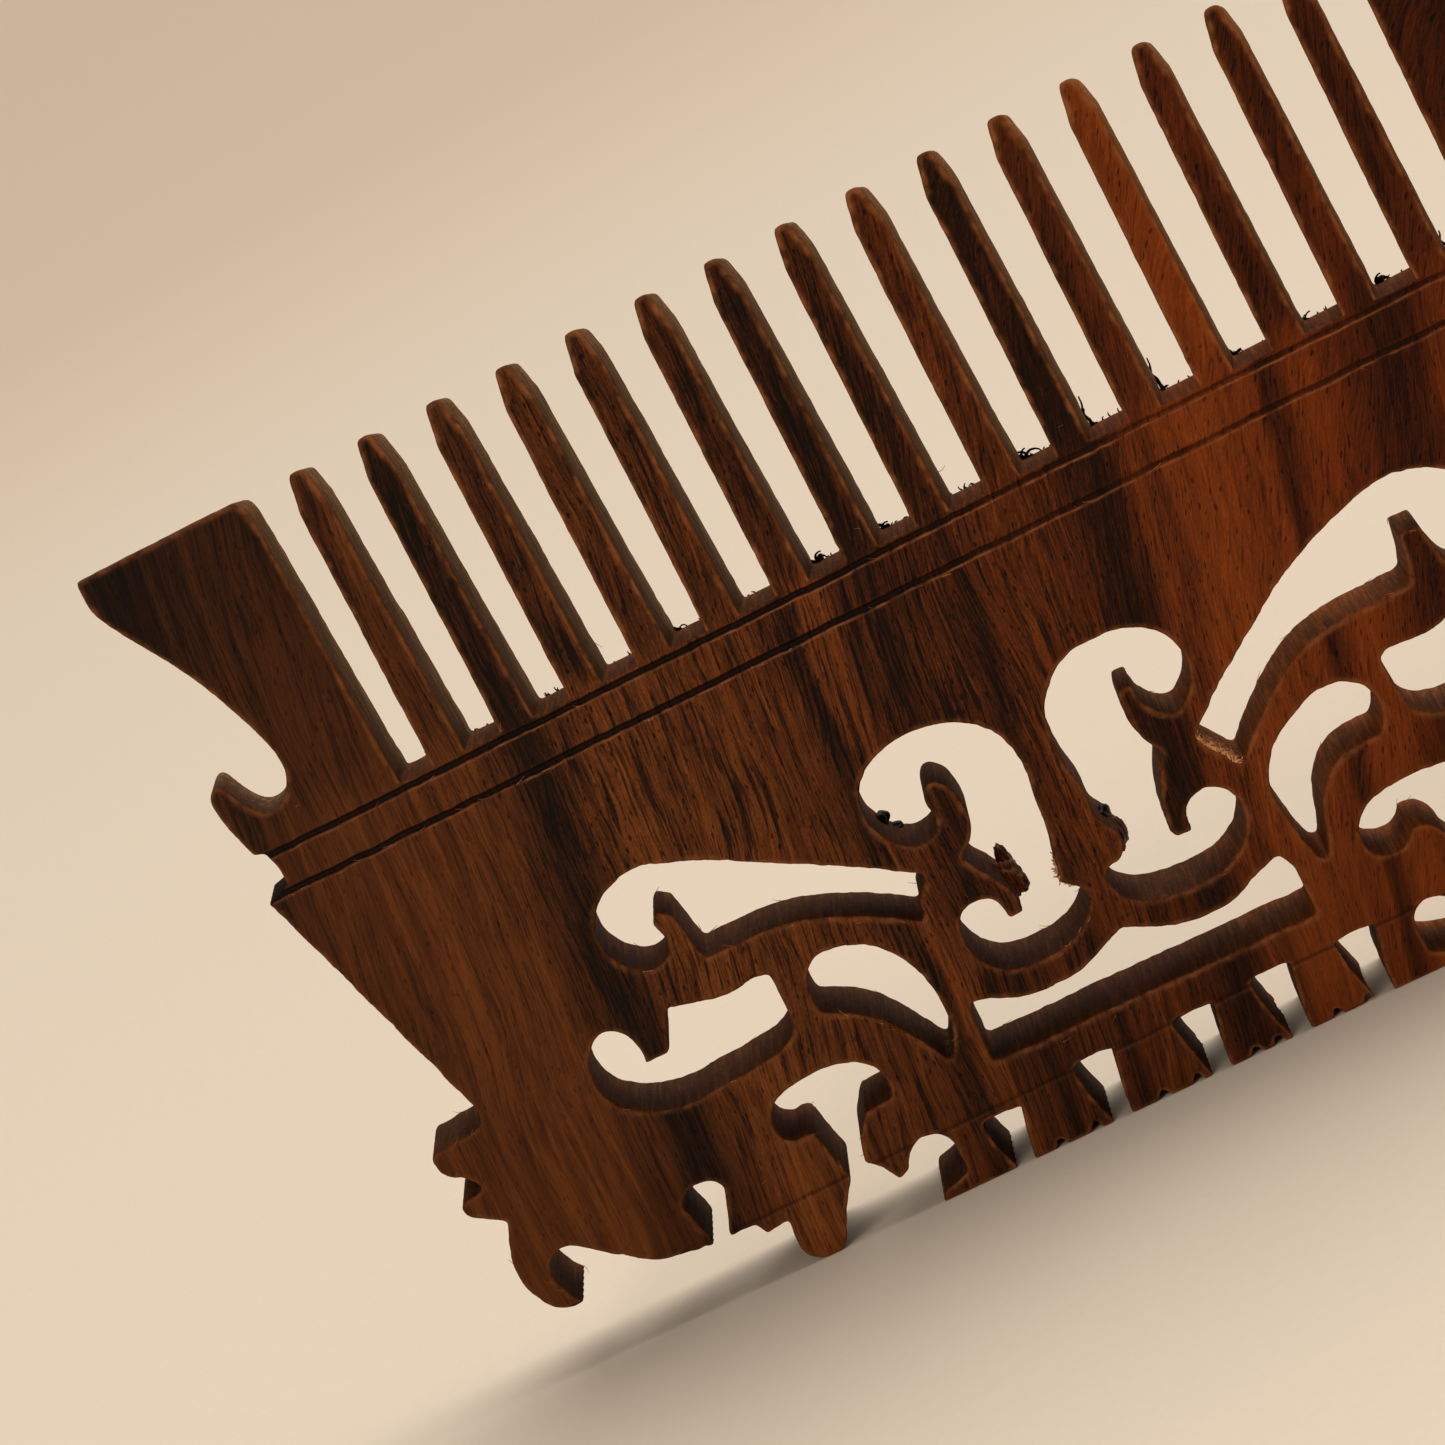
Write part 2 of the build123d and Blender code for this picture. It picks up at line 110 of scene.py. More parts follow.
def cut(mesh, place, normal):
    """Cuts away what lies on the normal's side of a plane and caps the cut. Gives the caps."""
    parts = mesh.verts[:] + mesh.edges[:] + mesh.faces[:]
    done = bmesh.ops.bisect_plane(
        mesh, geom=parts, plane_co=place, plane_no=normal, clear_outer=True)
    rims = [e for e in done["geom_cut"] if isinstance(e, bmesh.types.BMEdge)]
    return bmesh.ops.holes_fill(mesh, edges=rims)["faces"]


def remeshed_slab(low, high, voxel):
    """Vertices in comb millimetres, quads and edges of the fused board between two levels."""
    joined = bmesh.new()
    closed = bpy.data.meshes.new("closed")
    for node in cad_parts.values():
        solid = bmesh.new()
        solid.from_mesh(node.data)
        bmesh.ops.remove_doubles(solid, verts=solid.verts, dist=1e-7)
        solid.to_mesh(closed)
        solid.free()
        joined.from_mesh(closed)
    cut(joined, (0, 0, origin[2] + (low - CUT_MARGIN) * MM), (0, 0, -1))
    cut(joined, (0, 0, origin[2] + (high + CUT_MARGIN) * MM), (0, 0, 1))
    mesh = bpy.data.meshes.new("slab")
    joined.to_mesh(mesh)
    joined.free()
    holder = bpy.data.objects.new("slab", mesh)
    bpy.context.scene.collection.objects.link(holder)
    modifier = holder.modifiers.new("fuse", "REMESH")
    modifier.mode = "VOXEL"
    modifier.voxel_size = voxel * MM
    fused = holder.evaluated_get(bpy.context.evaluated_depsgraph_get()).to_mesh()
    points = np.empty(len(fused.vertices) * 3)
    fused.vertices.foreach_get("co", points)
    points = (points.reshape(-1, 3) - origin) / MM
    quads = np.empty(len(fused.polygons) * 4, np.int64)
    fused.polygons.foreach_get("vertices", quads)
    edges = np.empty(len(fused.edges) * 2, np.int64)
    fused.edges.foreach_get("vertices", edges)
    bpy.data.objects.remove(holder)
    bpy.data.meshes.remove(mesh)
    bpy.data.meshes.remove(closed)
    return points, quads.reshape(-1, 4), edges.reshape(-1, 2)


def neighbour_mean(values, edges):
    """Mean of the neighbours' values at each vertex."""
    count = len(values)
    ends = np.concatenate([edges[:, 0], edges[:, 1]])
    others = np.concatenate([edges[:, 1], edges[:, 0]])
    number = np.maximum(np.bincount(ends, minlength=count), 1)
    columns = values.reshape(count, -1)
    means = [np.bincount(ends, columns[others, k], count) / number
             for k in range(columns.shape[1])]
    return np.stack(means, axis=1).reshape(values.shape)


def vertex_normals(points, quads):
    """Unit normal at each vertex, averaged over the quads that meet there."""
    first = points[quads[:, 2]] - points[quads[:, 0]]
    second = points[quads[:, 3]] - points[quads[:, 1]]
    normals = np.cross(first, second)
    total = np.zeros_like(points)
    for k in range(3):
        for corner in range(4):
            total[:, k] += np.bincount(quads[:, corner], normals[:, k], len(points))
    return total / np.maximum(np.linalg.norm(total, axis=1, keepdims=True), 1e-12)


WEAR_PASSES = 5                        # smoothing steps on a mesh of the voxel size below
WEAR_VOXEL = 0.2


def worn(points, edges, voxel):
    """Rounds the edges, more at the tips of the teeth and less at the scribed lines."""
    passes = round(WEAR_PASSES * (WEAR_VOXEL / voxel) ** 2)
    lines = np.min([np.abs(points[:, 2] - level) for level in rail_groove], axis=0)
    keep = 1 - 0.75 * (1 - ramp(lines, 0.35, 0.8))
    keep *= 0.75 + 0.25 * lattice_noise(points, 7.0, 11)
    for _ in range(passes):
        mean = neighbour_mean(points, edges)
        points = points + 0.5 * keep[:, None] * (mean - points)
    tips = ramp(points[:, 2], top_level - 3.5, top_level - 0.5)
    if tips.max() > 0:
        for _ in range(passes * 2):
            mean = neighbour_mean(points, edges)
            points = points + 0.5 * tips[:, None] * (mean - points)
    return points


SLOW_WOBBLE = 0.06                     # millimetres, less along the teeth
QUICK_WOBBLE = 0.045


def sawn_outline(points):
    """Sideways wobble of every sawn outline, the same through the whole thickness."""
    flat = points.copy()
    flat[:, 0] -= saw_lean * points[:, 1]
    flat[:, 1] = 0
    teeth = ramp(points[:, 2], 0.5, 3.0)
    slow = SLOW_WOBBLE * (1 - 0.7 * teeth)
    quick = QUICK_WOBBLE * (1 - 0.45 * teeth)
    moved = points.copy()
    for axis, seed in ((0, 21), (2, 41)):
        wobble = slow * lattice_noise(flat, 2.1, seed)
        wobble += quick * lattice_noise(flat, 0.62, seed + 1)
        moved[:, axis] += wobble
    level = ramp(np.abs(points[:, 2] - bottom_level), 0.0, 1.5)
    moved[:, 2] = points[:, 2] + (moved[:, 2] - points[:, 2]) * level
    return moved


CHIP_DEPTH = 0.22                      # deepest dent along the edges, in millimetres


def chipped(points, normals, rim):
    """Small splintered dents along the edges."""
    bite = lattice_noise(points, 0.8, 61) + 0.6 * lattice_noise(points, 0.35, 62)
    depth = CHIP_DEPTH * ramp(bite, 0.45, 1.2) * rim
    return points - normals * depth[:, None]


# ---- tone of the wood, 0 dark to 1 light, along the board and tooth by tooth ----

# Place across the grain in comb millimetres, and the tone there: pale bands and dark veins.
BOARD_TONES = (
    (-59, 0.36), (-54, 0.52), (-48, 0.58), (-42, 0.56), (-38.8, 0.44), (-37.4, 0.20),
    (-36.0, 0.22), (-34.6, 0.47), (-31, 0.66), (-27, 0.60), (-22, 0.56), (-17, 0.56),
    (-15.6, 0.48), (-14.6, 0.29), (-13.7, 0.30), (-13.0, 0.63), (-11.2, 0.61), (-10.0, 0.46),
    (-8.4, 0.41), (-7.4, 0.26), (-6.2, 0.40), (-3, 0.42), (-1.2, 0.39), (-0.3, 0.23),
    (0.8, 0.50), (4, 0.54), (7, 0.44), (9.0, 0.40), (10.4, 0.24), (12.2, 0.22), (13.6, 0.42),
    (14.8, 0.66), (16.4, 0.50),
    (17.6, 0.68), (20, 0.72), (25.8, 0.66), (26.7, 0.32), (27.6, 0.50), (28.8, 0.70),
    (31, 0.66), (32.8, 0.48), (34.6, 0.36), (37, 0.30), (38.8, 0.36), (40.2, 0.56),
    (46, 0.56), (54, 0.48), (61, 0.50))
TOOTH_TONES = (0.46, 0.24, 0.46, 0.49, 0.43, 0.37, 0.20, 0.37, 0.50, 0.13, 0.41, 0.73, 0.40,
               0.43, 0.42)
GUARD_TONE = 0.46                      # at the foot of the guards
GUARD_FADE = 0.0085                    # how much they darken per millimetre up
CORNER_FADE = 0.10                     # and at their outer corners
GRAIN_LEAN = 0.12                      # sideways per millimetre up, on the left
GRAIN_FAN = 0.0033                     # how that grows per millimetre to the right
FAN_START = -15.0                      # where it starts to grow
FIBRE_LEAN = 0.20                      # how much more the fine fibres lean on the right


def wood_tone(points):
    """Tone of the wood at each point: the board's bands below, each tooth's own tone above."""
    fan = GRAIN_FAN * np.maximum(points[:, 0] - FAN_START, 0)
    across = points[:, 0] - points[:, 2] * (GRAIN_LEAN + fan)
    across += 0.3 * points[:, 1] + 0.7 * lattice_noise(points, 6.5, 71)
    board = np.interp(across, *zip(*BOARD_TONES))
    index = np.round(points[:, 0] * MM / pitch + TOOTH_COUNT // 2).astype(int)
    tones = np.array((GUARD_TONE,) + TOOTH_TONES + (GUARD_TONE,))
    tooth = tones[np.clip(index + 1, 0, TOOTH_COUNT + 1)]
    across_tooth = points[:, 0] * MM / pitch + TOOTH_COUNT // 2 - index
    lengthwise = lattice_noise(points * (1, 1, 0.14), 1.3, 72)
    tooth = tooth + 0.16 * across_tooth + 0.10 * lengthwise
    guard = np.abs(points[:, 0]) > (TOOTH_COUNT / 2 + 0.3) * pitch / MM
    corner = ramp(np.abs(points[:, 0]), 51.0, 57.0)
    shaded = GUARD_TONE - GUARD_FADE * points[:, 2] - CORNER_FADE * corner
    tooth = np.where(guard, shaded, tooth)
    up = ramp(points[:, 2], -1.0, 4.0)
    return board + (tooth - board) * up


# ---- cutting into pieces ----

def groove_shade_mask(points):
    """1 in the scribed lines, fading to 0 beside them: where near-black painted shade goes."""
    rail = np.min([np.abs(points[:, 2] - level) for level in rail_groove], axis=0)
    base = np.abs(points[:, 2] - base_line)
    # the painted shade of the lines under the teeth fades and narrows towards the right
    right_fade = ramp(points[:, 0], -12, 14) * (0.8 + 0.5 * lattice_noise(points, 2.4, 73))
    right_fade = np.clip(right_fade, 0, 1)
    reach = 0.33 - 0.15 * right_fade
    rail_mask = (1 - 0.35 * right_fade) * (1 - ramp(rail - reach, -0.12, 0))
    base_mask = 0.5 * (1 - ramp(base, 0.08, 0.22))
    return np.maximum(rail_mask, base_mask)


def lip_mask(points):
    """1 on the lower lips of the two scribed lines under the teeth, which face up: torn fibres
    there, and the rim's painted highlight.
    """
    below = np.stack([level - points[:, 2] for level in rail_groove])
    band = ramp(below, 0.26, 0.34) * (1 - ramp(below, 0.36, 0.46))
    return band.max(axis=0)


def rimless_lip(points):
    """1 in the same lines and on their upper lips, which face down and get neither torn fibres
    nor the rim's painted highlight.
    """
    above = np.stack([points[:, 2] - level for level in rail_groove])
    band = ramp(above, -0.36, -0.28) * (1 - ramp(above, 0.60, 0.80))
    return band.max(axis=0)


def raised_line(points):
    """Lifts the upper scribed line until it almost touches the gullets, as the knife did."""
    depth = -points[:, 2]
    most = 0.20 + 0.12 * ramp(points[:, 0], -12, 4)
    return most * ramp(depth, -0.3, 0.45) * (1 - ramp(depth, 1.0, 2.4))


def shaped_slab(low, high, voxel):
    """The board between two levels, worn, chipped and sawn, with its masks for the material."""
    points, quads, edges = remeshed_slab(low, high, voxel)
    points = worn(points, edges, voxel)
    normals = vertex_normals(points, quads)
    side = np.sqrt(np.clip(1 - normals[:, 1] ** 2, 0, 1))
    # the rounded edges, painted lighter orange on the faces: partly wear, partly a painted
    # highlight
    rim = ramp(side, 0.15, 0.4) * (1 - ramp(side, 0.8, 0.97))
    rim = np.clip(1.5 * neighbour_mean(rim, edges), 0, 1)
    wall = neighbour_mean(ramp(side, 0.6, 0.95), edges)
    rim *= 1 - 0.9 * rimless_lip(points)
    layers = {"tone": wood_tone(points), "rim": np.maximum(rim, 1.5 * lip_mask(points)),
              "wall": wall, "groove_shade": groove_shade_mask(points)}
    points = sawn_outline(chipped(points, normals, rim))
    points[:, 2] += raised_line(points)
    return {"points": points, "quads": quads, "layers": layers, "normals": normals}


def box_piece(slab, name, lows, highs, replaced):
    """The part of a slab inside a box, cut flat and capped where it meets its neighbours."""
    points, quads = slab["points"], slab["quads"]
    inside = np.ones(len(quads), bool)
    for axis in (0, 2):
        corners = points[quads, axis]
        inside &= corners.max(axis=1) > lows[axis] - PIECE_MARGIN
        inside &= corners.min(axis=1) < highs[axis] + PIECE_MARGIN
    chosen = quads[inside]
    used = np.unique(chosen)
    number = np.zeros(len(points), np.int64)
    number[used] = np.arange(len(used))
    mesh = bpy.data.meshes.new(name)
    places = points[used] * MM + origin
    mesh.from_pydata(places.tolist(), [], number[chosen].tolist())
    for layer, values in slab["layers"].items():
        data = mesh.attributes.new(layer, "FLOAT", "POINT")
        data.data.foreach_set("value", values[used].astype(np.float32))
    work = bmesh.new()
    work.from_mesh(mesh)
    for face in work.faces:
        face.smooth = True
    bounds = []
    for axis in (0, 2):
        for value, sign in ((lows[axis], -1), (highs[axis], 1)):
            place = Vector(origin)
            place[axis] = origin[axis] + value * MM
            normal = Vector((0, 0, 0))
            normal[axis] = sign
            bounds += cut(work, place, normal)
    caps = [face for face in bounds if face.is_valid]
    caps = bmesh.ops.triangulate(work, faces=caps)["faces"]
    for face in caps:
        face.smooth = False
        for edge in face.edges:
            edge.smooth = False
    work.to_mesh(mesh)
    work.free()
    mesh.update()
    piece = bpy.data.objects.new(name, mesh)
    bpy.context.scene.collection.objects.link(piece)
    piece.data.materials.append(rosewood)
    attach(piece, "root")
    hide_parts(*replaced)
    return piece


# ---- materials ----

class Nodes:
    """Short calls for building one material's node tree."""

    def __init__(self, name):
        self.material = bpy.data.materials.new(name)
        self.material.use_nodes = True
        self.tree = self.material.node_tree
        self.shader = self.tree.nodes["Principled BSDF"]

    def add(self, kind, **settings):
        node = self.tree.nodes.new("ShaderNode" + kind)
        for key, value in settings.items():
            setattr(node, key, value)
        return node

    def join(self, source, socket):
        if isinstance(source, bpy.types.NodeSocket):
            self.tree.links.new(source, socket)
        else:
            socket.default_value = source

    def math(self, operation, first, second=0.0, clamp=False):
        node = self.add("Math", operation=operation, use_clamp=clamp)
        self.join(first, node.inputs[0])
        self.join(second, node.inputs[1])
        return node.outputs[0]

    def mix(self, factor, first, second, blend="MIX"):
        node = self.add("Mix", data_type="RGBA", blend_type=blend)
        self.join(factor, node.inputs["Factor"])
        self.join(first, node.inputs["A"])
        self.join(second, node.inputs["B"])
        return node.outputs["Result"]

    def span(self, value, low, high, to_low=0.0, to_high=1.0, smooth=False):
        kind = "SMOOTHSTEP" if smooth else "LINEAR"
        node = self.add("MapRange", interpolation_type=kind)
        self.join(value, node.inputs["Value"])
        for key, number in (("From Min", low), ("From Max", high), ("To Min", to_low),
                            ("To Max", to_high)):
            node.inputs[key].default_value = number
        return node.outputs["Result"]

    def ramp(self, factor, stops):
        node = self.add("ValToRGB")
        elements = node.color_ramp.elements
        while len(elements) < len(stops):
            elements.new(0.5)
        for element, (place, colour) in zip(elements, stops):
            element.position = place
            element.color = (*colour, 1)
        self.join(factor, node.inputs[0])
        return node.outputs["Color"]

    def vector(self, x, y, z):
        node = self.add("CombineXYZ")
        for socket, value in zip(node.inputs, (x, y, z)):
            self.join(value, socket)
        return node.outputs[0]

    def noise(self, place, scale=1.0, detail=2.0, roughness=0.5):
        node = self.add("TexNoise")
        self.join(place, node.inputs["Vector"])
        node.inputs["Scale"].default_value = scale
        node.inputs["Detail"].default_value = detail
        node.inputs["Roughness"].default_value = roughness
        return node.outputs["Fac"]

    def cells(self, place):
        node = self.add("TexVoronoi")
        self.join(place, node.inputs["Vector"])
        node.inputs["Scale"].default_value = 1.0
        return node.outputs["Distance"]

    def attribute(self, name):
        return self.add("Attribute", attribute_name=name).outputs["Fac"]


def scaled(n, place, x, y, z):
    """The point's coordinates, each times its own number."""
    return n.vector(n.math("MULTIPLY", place[0], x), n.math("MULTIPLY", place[1], y),
                    n.math("MULTIPLY", place[2], z))


# Tone, and the colour of the wood's face at that tone. The last is torn end grain.
WOOD_COLOURS = (
    (0.00, (0.0080, 0.0038, 0.0022)),
    (0.22, (0.0250, 0.0085, 0.0032)),
    (0.48, (0.0920, 0.0255, 0.0062)),
    (0.74, (0.2050, 0.0580, 0.0110)),
    (1.00, (0.3500, 0.1100, 0.0200)),
    (1.50, (0.8500, 0.6000, 0.3800)),
)


def make_rosewood():
    """Grain, pores and veins on the faces, sawn walls with painted light, worn rims with a
    painted highlight, and scribed lines with painted shade.
    """
    n = Nodes("rosewood")
    coordinate = n.add("TexCoord").outputs["Object"]
    split = n.add("SeparateXYZ")
    n.join(coordinate, split.inputs[0])
    x = n.math("MULTIPLY", n.math("SUBTRACT", split.outputs[0], float(origin[0])), 1 / MM)
    y = n.math("MULTIPLY", split.outputs[1], 1 / MM)
    z = n.math("MULTIPLY", n.math("SUBTRACT", split.outputs[2], float(origin[2])), 1 / MM)
    place = (x, y, z)

    # u runs across the grain, z along it
    fan = n.math("MAXIMUM", n.math("SUBTRACT", x, FAN_START), 0.0)
    lean = n.math("ADD", n.math("MULTIPLY", fan, GRAIN_FAN), GRAIN_LEAN)
    u = n.math("SUBTRACT", x, n.math("MULTIPLY", z, lean))
    slow = n.noise(scaled(n, place, 0.07, 0.09, 0.03), detail=1.0)
    quick = n.noise(scaled(n, place, 0.5, 0.3, 0.13), detail=2.0)
    u = n.math("ADD", u, n.math("MULTIPLY", n.math("SUBTRACT", slow, 0.5), 7.0))
    u = n.math("ADD", u, n.math("MULTIPLY", n.math("SUBTRACT", quick, 0.5), 0.8))
    u = n.math("ADD", u, n.math("MULTIPLY", y, 0.3))
    grain = (u, y, z)
    steeper = n.math("MULTIPLY", z, n.span(x, 3.0, 17.0, 0.0, FIBRE_LEAN, smooth=True))
    fine = (n.math("SUBTRACT", u, steeper), y, z)

    bands = n.noise(scaled(n, grain, 0.17, 0.05, 0.012), detail=2.0)
    streaks = n.noise(scaled(n, grain, 0.95, 0.25, 0.035), detail=4.0, roughness=0.7)
    fibres = n.noise(scaled(n, fine, 6.5, 2.0, 0.34), detail=4.0, roughness=0.7)
    speckle = n.noise(scaled(n, fine, 10.0, 6.0, 3.2), detail=2.0, roughness=0.6)
    rings = n.math("FRACT", n.math("MULTIPLY", bands, 14.0))
    rings = n.math("POWER", rings, 5.0)
    lines = n.span(n.noise(scaled(n, grain, 3.4, 1.0, 0.15), detail=3.0), 0.53, 0.62,
                   smooth=True)
    lines = n.math("MULTIPLY", lines, n.span(x, -5.0, 18.0, 1.0, 0.3))
    long_pores = n.span(n.cells(scaled(n, fine, 2.6, 1.7, 0.23)), 0.30, 0.16)
    short_pores = n.span(n.cells(scaled(n, fine, 2.2, 1.4, 0.70)), 0.22, 0.13)
    pores = n.math("MAXIMUM", n.math("MULTIPLY", long_pores, 0.55), short_pores)

    tone = n.attribute("tone")
    even = n.span(x, -5.0, 18.0, 1.0, 0.5)
    soft = n.math("MULTIPLY", n.span(x, -46.0, -34.0, 0.40, 1.0),
                  n.span(z, -44.0, -27.0, 0.55, 1.0))
    clear = n.math("MULTIPLY", soft, n.span(x, 8.0, 22.0, 1.0, 0.72))
    for layer, weight, where in ((bands, 0.30, 1.0), (streaks, 0.66, even),
                                 (fibres, 0.92, clear), (speckle, 0.48, clear)):
        centred = n.math("MULTIPLY", n.math("SUBTRACT", layer, 0.5), where)
        tone = n.math("ADD", tone, n.math("MULTIPLY", centred, weight))
    for layer, weight, where in ((rings, 0.12, clear), (lines, 0.30, clear), (pores, 0.32, soft)):
        faded = n.math("MULTIPLY", layer, where)
        tone = n.math("SUBTRACT", tone, n.math("MULTIPLY", faded, weight))
    palest = WOOD_COLOURS[-1][0]
    stops = [(place_on / palest, shade) for place_on, shade in WOOD_COLOURS]
    colour = n.ramp(n.math("DIVIDE", tone, palest), stops)
    redder = n.mix(1.0, colour, (1.02, 0.60, 0.24, 1), "MULTIPLY")
    colour = n.mix(n.span(x, -30.0, 30.0, 0.0, 0.9), colour, redder)

    # sawn walls: greyer, fuzzy, ruled through the thickness
    wall = n.attribute("wall")
    ruled_x = n.math("ADD", x, n.math("MULTIPLY", y, -saw_lean))
    ruled = n.noise(scaled(n, (ruled_x, y, z), 3.4, 0.16, 3.4), detail=3.0, roughness=0.7)
    fuzz = n.noise(scaled(n, place, 5.0, 5.0, 5.0), detail=3.0, roughness=0.7)
    rough = n.math("ADD", n.math("MULTIPLY", ruled, 0.6), n.math("MULTIPLY", fuzz, 0.4))
    brown = n.ramp(rough, ((0.32, (0.022, 0.0070, 0.0012)), (0.50, (0.084, 0.0270, 0.0038)),
                           (0.68, (0.230, 0.0830, 0.0140))))
    brown = n.mix(0.75, colour, brown)
    floors = n.math("MULTIPLY", n.span(z, -0.4, -0.1), n.span(z, 0.5, 0.2))
    dusty = n.mix(1.0, brown, (1.15, 1.00, 0.55, 1), "MULTIPLY")
    below = n.mix(n.span(x, -2.0, 18.0), (0.68, 0.55, 0.40, 1), (1.20, 1.25, 1.20, 1))
    below = n.mix(1.0, brown, below, "MULTIPLY")
    brown = n.mix(floors, below, dusty)
    along = n.noise(scaled(n, place, 3.0, 3.4, 0.22), detail=3.0, roughness=0.7)
    pale = n.ramp(n.math("ADD", n.math("MULTIPLY", along, 0.7), n.math("MULTIPLY", fuzz, 0.3)),
                  ((0.34, (0.046, 0.020, 0.0072)), (0.50, (0.150, 0.074, 0.0300)),
                   (0.66, (0.350, 0.190, 0.0850))))
    # painted light: the tooth walls above the gullets are painted paler towards their back edge
    share = n.math("MULTIPLY", n.span(z, 0.10, 0.45), n.span(y, -3.5, 2.0, 0.20, 0.90))
    walls = n.mix(share, brown, pale)
    warm = n.mix(1.0, walls, (1.25, 1.06, 0.70, 1), "MULTIPLY")
    walls = n.mix(n.span(x, -8.0, 16.0), walls, warm)
    colour = n.mix(wall, colour, walls)

    # rims worn down to lighter orange fibres, partly a painted highlight on the rounded edges,
    # and scribed lines darkened with painted shade
    rim = n.attribute("rim")
    patchy = n.span(n.noise(scaled(n, place, 0.9, 0.9, 0.9), detail=3.0), 0.38, 0.66, 0.2, 1.0)
    rim = n.math("MULTIPLY", n.math("MULTIPLY", rim, patchy), n.span(z, -4.5, 2.0, 0.62, 0.90))
    rim = n.math("MULTIPLY", rim, n.span(x, -52.0, -24.0, 0.62, 1.0))
    colour = n.mix(rim, colour, (0.330, 0.106, 0.032, 1))
    groove_shade = n.attribute("groove_shade")
    # near-black painted shade in the scribed lines
    colour = n.mix(n.math("MULTIPLY", groove_shade, 0.94), colour, (0.0045, 0.0025, 0.0018, 1))
    n.join(colour, n.shader.inputs["Base Color"])

    roughness = n.span(fibres, 0.3, 0.7, 0.42, 0.56)
    roughness = n.math("ADD", roughness, n.math("MULTIPLY", wall, 0.30), clamp=True)
    roughness = n.math("ADD", roughness, n.math("MULTIPLY", pores, 0.15), clamp=True)
    n.join(roughness, n.shader.inputs["Roughness"])
    n.shader.inputs["Specular IOR Level"].default_value = 0.08

    face_height = n.math("SUBTRACT", n.math("MULTIPLY", fibres, 0.5),
                         n.math("MULTIPLY", pores, 0.9))
    wall_height = n.math("ADD", n.math("MULTIPLY", ruled, 2.2), n.math("MULTIPLY", fuzz, 1.6))
    mixed = n.add("Mix", data_type="FLOAT")
    n.join(wall, mixed.inputs["Factor"])
    n.join(face_height, mixed.inputs["A"])
    n.join(wall_height, mixed.inputs["B"])
    bump = n.add("Bump")
    bump.inputs["Strength"].default_value = 0.55
    bump.inputs["Distance"].default_value = 0.05 * MM
    n.join(mixed.outputs["Result"], bump.inputs["Height"])
    n.join(bump.outputs[0], n.shader.inputs["Normal"])
    return n.material


def make_pale():
    """Matt cream for the floor, with painted shade: a little darker far from the comb."""
    n = Nodes("studio_floor")
    coordinate = n.add("TexCoord").outputs["Object"]
    mottle = n.noise(coordinate, scale=900.0, detail=3.0)
    near = n.ramp(mottle, ((0.3, (0.700, 0.611, 0.511)), (0.7, (0.715, 0.625, 0.522))))
    far = n.mix(1.0, near, (0.92, 0.855, 0.80, 1), "MULTIPLY")
    distance = n.add("VectorMath", operation="LENGTH")
    n.join(coordinate, distance.inputs[0])
    # painted shade: the floor darkens from 0.55 m to 1 m out
    share = n.span(distance.outputs["Value"], 0.55, 1.0)
    n.join(n.mix(share, near, far), n.shader.inputs["Base Color"])
    n.shader.inputs["Roughness"].default_value = 0.95
    n.shader.inputs["Specular IOR Level"].default_value = 0.1
    return n.material


rosewood = make_rosewood()
pale_floor = make_pale()


# ---- torn fibres and burrs left by the saw ----

